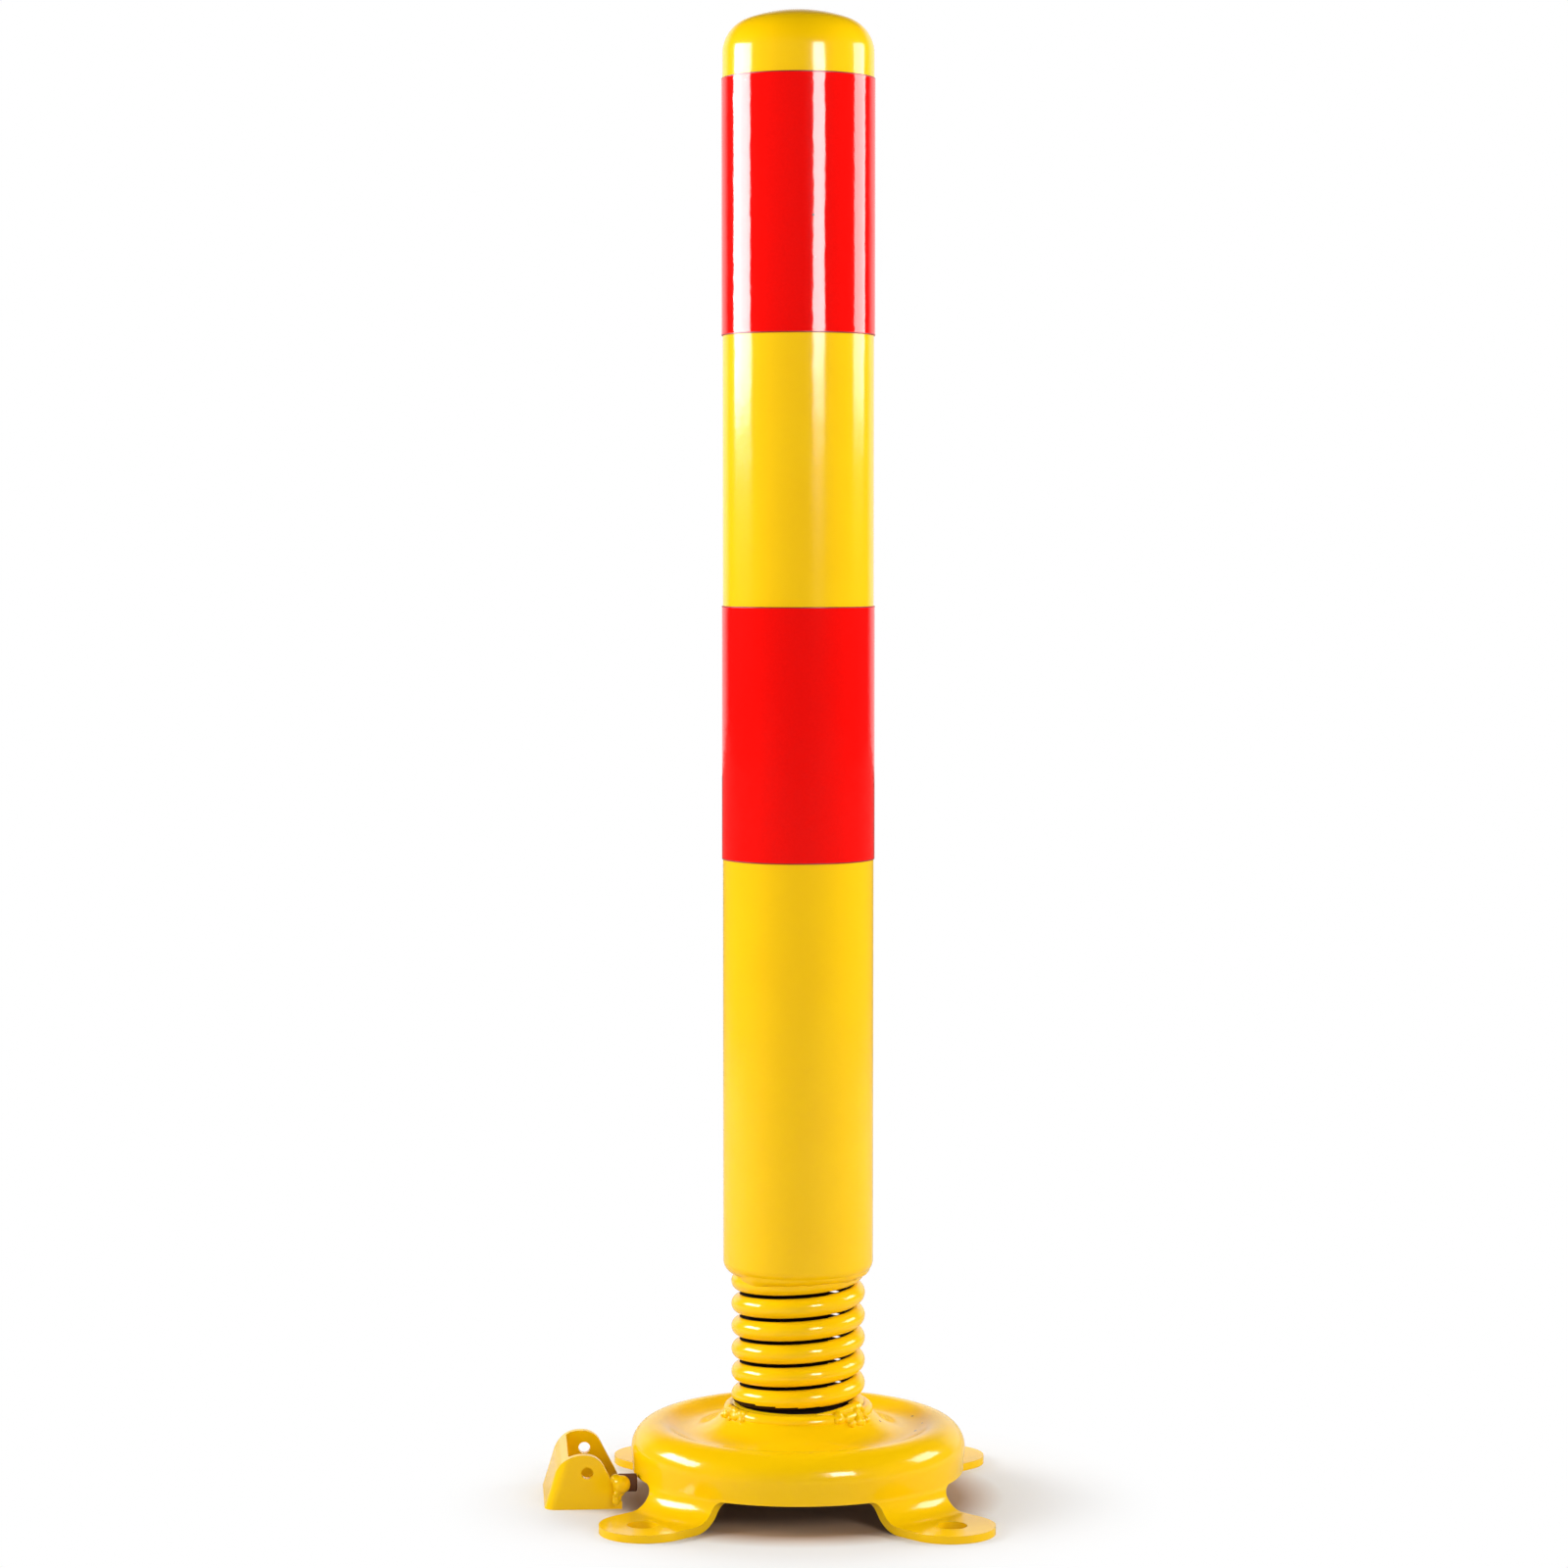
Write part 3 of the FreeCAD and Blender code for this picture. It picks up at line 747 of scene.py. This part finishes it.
def gloss_enamel():
    """Gloss enamel sprayed on steel: clear reflections, fine orange peel, a yellow with deeper patches."""
    material, tree, shader = new_material("yellow_gloss_enamel")
    place = add_node(tree, "ShaderNodeTexCoord").outputs["Object"]
    patches = add_node(
        tree, "ShaderNodeTexNoise", {"Vector": place, "Scale": 1 / (40 * MM), "Detail": 3.0, "Roughness": 0.5}
    )
    colour = add_node(
        tree,
        "ShaderNodeMix",
        {"Factor": patches.outputs["Fac"], 6: linear("#FCCC06"), 7: linear("#F8C204")},
        data_type="RGBA",
    )
    peel = add_node(tree, "ShaderNodeTexNoise", {"Vector": place, "Scale": 1 / (2.4 * MM), "Detail": 1.0})
    drawn = add_node(tree, "ShaderNodeMapping", {"Vector": place, "Scale": (1, 1, 0.5)})
    sag = add_node(
        tree, "ShaderNodeTexNoise", {"Vector": drawn.outputs["Vector"], "Scale": 1 / (9 * MM), "Detail": 2.0}
    )
    sag_bump = add_node(
        tree, "ShaderNodeBump", {"Height": sag.outputs["Fac"], "Strength": 1.0, "Distance": 0.1 * MM}
    )
    peel_bump = add_node(
        tree,
        "ShaderNodeBump",
        {
            "Height": peel.outputs["Fac"],
            "Normal": sag_bump.outputs["Normal"],
            "Strength": 1.0,
            "Distance": 0.012 * MM,
        },
    )
    pinholes = [
        (41.6, -6.9, 40.1, 1.0),
        (58.7, 22.1, 36.2, 0.9),
        (59.5, -7.9, 35.4, 1.1),
        (63.3, 4.9, 36.5, 0.7),
    ]
    marked = add_node(
        tree,
        "ShaderNodeMix",
        {"Factor": add_marks(tree, place, pinholes), 6: colour.outputs[2], 7: linear("#5A3A0A")},
        data_type="RGBA",
    )
    tree.links.new(marked.outputs[2], shader.inputs["Base Color"])
    tree.links.new(peel_bump.outputs["Normal"], shader.inputs["Normal"])
    shader.inputs["Roughness"].default_value = 0.13
    shader.inputs["IOR"].default_value = 1.4
    return material


def bare_steel_and_gap_shade():
    """Oil-hardened spring wire where the spray did not reach: dull brown-black scale with little gloss, its
    darkness also painted shade in the gaps between the turns and on the neck under the spring.
    """
    material, tree, shader = new_material("bare_steel_and_gap_shade")
    place = add_node(tree, "ShaderNodeTexCoord").outputs["Object"]
    scale = add_node(tree, "ShaderNodeTexNoise", {"Vector": place, "Scale": 1 / (3 * MM), "Detail": 3.0})
    colour = add_node(
        tree,
        "ShaderNodeMix",
        {"Factor": scale.outputs["Fac"], 6: linear("#1E0C04"), 7: linear("#381A08")},
        data_type="RGBA",
    )
    tree.links.new(colour.outputs[2], shader.inputs["Base Color"])
    shader.inputs["Roughness"].default_value = 0.7
    shader.inputs["Specular IOR Level"].default_value = 0.1
    return material


def rusty_steel_and_painted_shade():
    """Pressed sheet where the spray did not reach: thin brown rust in soft patches, without gloss, its dark
    brown also painted shade under the dish and beside the bracket.
    """
    material, tree, shader = new_material("rust_and_painted_shade")
    place = add_node(tree, "ShaderNodeTexCoord").outputs["Object"]
    rust_and_shade = add_node(tree, "ShaderNodeTexNoise", {"Vector": place, "Scale": 1 / (8 * MM), "Detail": 4.0})
    colour = add_node(
        tree,
        "ShaderNodeMix",
        {"Factor": rust_and_shade.outputs["Fac"], 6: linear("#6E3C0C"), 7: linear("#3E1E06")},
        data_type="RGBA",
    )
    tree.links.new(colour.outputs[2], shader.inputs["Base Color"])
    shader.inputs["Roughness"].default_value = 0.8
    return material


def red_film():
    """Glossy vinyl film over a bed of glass beads: an even, saturated red with soft waves and small blisters.

    The beads are drawn coarser than real ones, so that they show at all.
    """
    material, tree, shader = new_material("red_reflective_film")
    place = add_node(tree, "ShaderNodeTexCoord").outputs["Object"]
    beads = add_node(tree, "ShaderNodeTexNoise", {"Vector": place, "Scale": 1 / (1.2 * MM), "Detail": 2.0})
    colour = add_node(
        tree,
        "ShaderNodeMix",
        {"Factor": beads.outputs["Fac"], 6: linear("#F90A04"), 7: linear("#EE0300")},
        data_type="RGBA",
    )
    drawn = add_node(tree, "ShaderNodeMapping", {"Vector": place, "Scale": (1, 1, 0.6)})
    waves = add_node(
        tree, "ShaderNodeTexNoise", {"Vector": drawn.outputs["Vector"], "Scale": 1 / (12 * MM), "Detail": 2.0}
    )
    wave_bump = add_node(
        tree, "ShaderNodeBump", {"Height": waves.outputs["Fac"], "Strength": 1.0, "Distance": 0.12 * MM}
    )
    blisters = add_node(tree, "ShaderNodeTexNoise", {"Vector": place, "Scale": 1 / (4.5 * MM), "Detail": 2.0})
    blister_bump = add_node(
        tree,
        "ShaderNodeBump",
        {
            "Height": blisters.outputs["Fac"],
            "Normal": wave_bump.outputs["Normal"],
            "Strength": 1.0,
            "Distance": 0.055 * MM,
        },
    )
    nicks = [
        (-25.2, -29.1, 714, 0.9),
        (-25.8, -28.6, 712.6, 0.7),
        (7.6, -37.7, 645.8, 0.8),
        (8.6, -37.5, 625.3, 0.5),
    ]
    marked = add_node(
        tree,
        "ShaderNodeMix",
        {"Factor": add_marks(tree, place, nicks), 6: colour.outputs[2], 7: linear("#3A0604")},
        data_type="RGBA",
    )
    tree.links.new(marked.outputs[2], shader.inputs["Base Color"])
    tree.links.new(blister_bump.outputs["Normal"], shader.inputs["Normal"])
    shader.inputs["Roughness"].default_value = 0.08
    shader.inputs["IOR"].default_value = 1.4
    return material


def dirt_and_shade_edge_line():
    """Thin paint along a cut edge: a broken line of ochre and brown, dirt in the paint and painted shade
    along the edges and at the feet's outline on the floor.
    """
    material, tree, shader = new_material("edge_dirt_and_painted_shade")
    place = add_node(tree, "ShaderNodeTexCoord").outputs["Object"]
    dirt_and_shade_noise = add_node(tree, "ShaderNodeTexNoise", {"Vector": place, "Scale": 1 / (14 * MM), "Detail": 3.0})
    share = add_node(
        tree, "ShaderNodeMapRange", {"Value": dirt_and_shade_noise.outputs["Fac"], "From Min": 0.36, "From Max": 0.58}
    )
    colour = add_node(
        tree,
        "ShaderNodeMix",
        {"Factor": share.outputs["Result"], 6: linear("#D09C0E"), 7: linear("#5E3808")},
        data_type="RGBA",
    )
    tree.links.new(colour.outputs[2], shader.inputs["Base Color"])
    shader.inputs["Roughness"].default_value = 0.3
    return material


def film_edge_shade_line():
    """The film's cut edge: a thin, dull line of dark red broken by noise, painted shade along the film's
    edge.
    """
    material, tree, shader = new_material("film_edge_shade_line")
    place = add_node(tree, "ShaderNodeTexCoord").outputs["Object"]
    edge_shade_noise = add_node(tree, "ShaderNodeTexNoise", {"Vector": place, "Scale": 1 / (6 * MM), "Detail": 3.0})
    colour = add_node(
        tree,
        "ShaderNodeMix",
        {"Factor": edge_shade_noise.outputs["Fac"], 6: linear("#5E0402"), 7: linear("#C00A04")},
        data_type="RGBA",
    )
    tree.links.new(colour.outputs[2], shader.inputs["Base Color"])
    shader.inputs["Roughness"].default_value = 0.4
    return material


def darken_film_edges(piece, edge_shade_coat):
    """Give the strip along each cut edge of a film its line of painted shade."""
    piece.data.materials.append(edge_shade_coat)
    heights = [vert.co.z for vert in piece.data.vertices]
    for face in piece.data.polygons:
        if min(face.center.z - min(heights), max(heights) - face.center.z) < FILM_EDGE_LINE:
            face.material_index = 1


def dress(piece, material):
    """Give a piece its material."""
    piece.data.materials.append(material)


def leave_gaps_bare_and_shaded(piece, steel_and_gap_shade):
    """Spray reaches the wire's outer face, deeper at the right, and not the underside of the lowest turn; the
    dark bare steel left there is also painted shade in the gaps and under the spring.
    """
    piece.data.materials.append(steel_and_gap_shade)
    for face in piece.data.polygons:
        place = face.center
        bearing = math.degrees(math.atan2(place.x, -place.y))
        deeper = min(max((bearing - DEEPER_START) / (DEEPER_END - DEEPER_START), 0), 1)
        in_gap = place.xy.length < PAINT_REACH - deeper * PAINT_DEEPER
        under_foot = place.z < SPRING_LOW.z + BARE_FOOT and face.normal.z < DOWNWARD
        if in_gap or under_foot:
            face.material_index = 1


# Stage


def make_floor():
    """A wide pale floor that keeps the shadow near the object, with a painted warm brown shade round the
    axis, and turns to plain white further out.
    """
    bpy.ops.object.select_all(action="DESELECT")
    bpy.ops.mesh.primitive_plane_add(size=12, location=(0, 0, 0))
    floor = bpy.context.object
    floor.name = "studio_floor"
    material, tree, shader = new_material("white_studio_floor")
    shader.inputs["Roughness"].default_value = 0.9
    rays = add_node(tree, "ShaderNodeLightPath")
    place = add_node(tree, "ShaderNodeTexCoord").outputs["Object"]
    reach = add_node(tree, "ShaderNodeVectorMath", {0: place}, operation="LENGTH")
    clear = add_node(
        tree,
        "ShaderNodeMapRange",
        {"Value": reach.outputs["Value"], "From Min": PAINTED_WARM_SHADE_END, "From Max": NEUTRAL_START},
    )
    # Painted shade: seen by the camera, the floor near the axis wears a warm brown for the shadow under the
    # base and the yellow light bounced into it
    seen_tone_with_painted_shade = add_node(
        tree,
        "ShaderNodeMix",
        {"Factor": clear.outputs["Result"], 6: linear("#C09A78"), 7: linear("#E8E7E6")},
        data_type="RGBA",
    )
    tone = add_node(
        tree,
        "ShaderNodeMix",
        {"Factor": rays.outputs["Is Camera Ray"], 6: linear("#C4BEB4"), 7: seen_tone_with_painted_shade.outputs[2]},
        data_type="RGBA",
    )
    tree.links.new(tone.outputs[2], shader.inputs["Base Color"])
    away = add_node(
        tree,
        "ShaderNodeMapRange",
        {"Value": reach.outputs["Value"], "From Min": WHITE_START, "From Max": WHITE_END},
        interpolation_type="SMOOTHSTEP",
    )
    seen = add_node(
        tree,
        "ShaderNodeMath",
        {0: away.outputs["Result"], 1: rays.outputs["Is Camera Ray"]},
        operation="MULTIPLY",
    )
    white = add_node(tree, "ShaderNodeEmission", {"Color": linear("#FFFFFF"), "Strength": 1.0})
    mixed = add_node(
        tree,
        "ShaderNodeMixShader",
        {0: seen.outputs["Value"], 1: shader.outputs["BSDF"], 2: white.outputs["Emission"]},
    )
    tree.links.new(mixed.outputs["Shader"], tree.nodes["Material Output"].inputs["Surface"])
    floor.data.materials.append(material)


def add_softbox(name, bearing, distance, size, radiance, in_gloss):
    """A flat soft light that faces the post, either one that lights the paint or one that shows in its gloss.

    The bearing is measured from the camera, positive to the right. The size is (low, high, width).
    """
    low, high, width = size
    angle = math.radians(bearing)
    light = bpy.data.lights.new(name, "AREA")
    light.shape = "RECTANGLE"
    light.size = width
    light.size_y = high - low
    light.energy = radiance * math.pi * width * (high - low)
    lamp = bpy.data.objects.new(name, light)
    bpy.context.collection.objects.link(lamp)
    lamp.location = (distance * math.sin(angle), -distance * math.cos(angle), (low + high) / 2)
    lamp.rotation_euler = (math.pi / 2, 0, angle)
    lamp.visible_glossy = in_gloss
    lamp.visible_diffuse = not in_gloss


def light_studio():
    """Upright softboxes at the left, front and right, one lamp behind, and a fill that fades out overhead.

    The gloss sees a dim room with a white back wall.
    """
    add_softbox("left_fill", -94, 1.9, (0.66, 1.5, 1.2), 13, False)
    add_softbox("front_fill", 27, 2.1, (0.75, 1.6, 0.9), 6.5, False)
    add_softbox("right_fill", 101, 1.9, (0.66, 1.5, 0.95), 10.5, False)
    add_softbox("back_fill", 180, 1.7, (0.8, 1.5, 1.4), 5, False)
    add_softbox("left_gloss", -94, 1.85, (0.61, 1.25, 1.2), 24, True)
    add_softbox("front_gloss", 31, 2.05, (0.64, 1.3, 0.62), 26, True)
    add_softbox("right_gloss", 105, 1.85, (0.61, 1.25, 0.85), 10, True)
    world = bpy.data.worlds.new("studio")
    world.use_nodes = True
    tree = world.node_tree
    tree.nodes.clear()
    direction = add_node(tree, "ShaderNodeTexCoord").outputs["Generated"]
    parts = add_node(tree, "ShaderNodeSeparateXYZ", {"Vector": direction})
    wall = add_node(
        tree,
        "ShaderNodeMapRange",
        {"Value": parts.outputs["Y"], "From Min": 0.64, "From Max": 0.8, "To Min": 0.06, "To Max": 0.9},
    )
    dark_above = add_node(
        tree,
        "ShaderNodeMapRange",
        {"Value": parts.outputs["Z"], "From Min": 0.3, "From Max": 0.5, "To Min": 1.0, "To Max": 0.06},
    )
    seen_room = add_node(
        tree,
        "ShaderNodeMath",
        {0: wall.outputs["Result"], 1: dark_above.outputs["Result"]},
        operation="MULTIPLY",
    )
    overhead = add_node(
        tree,
        "ShaderNodeMapRange",
        {"Value": parts.outputs["Z"], "From Min": 0.2, "From Max": 0.75, "To Min": 1.2, "To Max": 0.0},
    )
    rays = add_node(tree, "ShaderNodeLightPath")
    fill = add_node(
        tree, "ShaderNodeBackground", {"Color": linear("#FFFFFF"), "Strength": overhead.outputs["Result"]}
    )
    room = add_node(
        tree, "ShaderNodeBackground", {"Color": linear("#FFFFFF"), "Strength": seen_room.outputs["Value"]}
    )
    white = add_node(tree, "ShaderNodeBackground", {"Color": linear("#FFFFFF"), "Strength": 1.0})
    lit = add_node(
        tree,
        "ShaderNodeMixShader",
        {0: rays.outputs["Is Glossy Ray"], 1: fill.outputs["Background"], 2: room.outputs["Background"]},
    )
    mixed = add_node(
        tree,
        "ShaderNodeMixShader",
        {0: rays.outputs["Is Camera Ray"], 1: lit.outputs["Shader"], 2: white.outputs["Background"]},
    )
    add_node(tree, "ShaderNodeOutputWorld", {"Surface": mixed.outputs["Shader"]})
    bpy.context.scene.world = world


def place_camera():
    """A long lens in front of the post, at about two thirds of its height and tipped down a little."""
    camera = bpy.data.cameras.new("camera")
    camera.lens = CAMERA_LENS_MM
    camera.sensor_width = CAMERA_SENSOR_MM
    view = bpy.data.objects.new("camera", camera)
    bpy.context.collection.objects.link(view)
    view.location = CAMERA_PLACE
    view.rotation_euler = (CAMERA_TIP, 0, CAMERA_TURN)
    bpy.context.scene.camera = view


# The pieces and what they wear
enamel = gloss_enamel()
film = red_film()
film_edge_shade = film_edge_shade_line()
steel_and_gap_shade = bare_steel_and_gap_shade()
rust_and_shade = rusty_steel_and_painted_shade()
edge_dirt_and_shade = dirt_and_shade_edge_line()
springs = make_spring_halves()
make_base([enamel, rust_and_shade, steel_and_gap_shade, edge_dirt_and_shade])
painted = [make_painted_post(), *springs, *make_welds()]
painted.append(make_softened_copy("painted_bracket", "side_bracket", PLATE_EDGE_RADIUS))
# The bar wears the rusty coat, whose dark brown also stands in for the shade between the bracket's weld and
# the rim
bar = make_softened_copy("rusty_shaded_bar", "bracket_cross_bar", PLATE_EDGE_RADIUS)
dress(bar, rust_and_shade)
for piece in painted:
    dress(piece, enamel)
for piece in springs:
    leave_gaps_bare_and_shaded(piece, steel_and_gap_shade)
for name in ("lower", "upper"):
    wrap = make_film_wrap(f"{name}_film_wrap", f"{name}_reflective_band")
    dress(wrap, film)
    darken_film_edges(wrap, film_edge_shade)

# The studio
make_floor()
light_studio()
place_camera()
bpy.context.scene.view_settings.view_transform = "Standard"
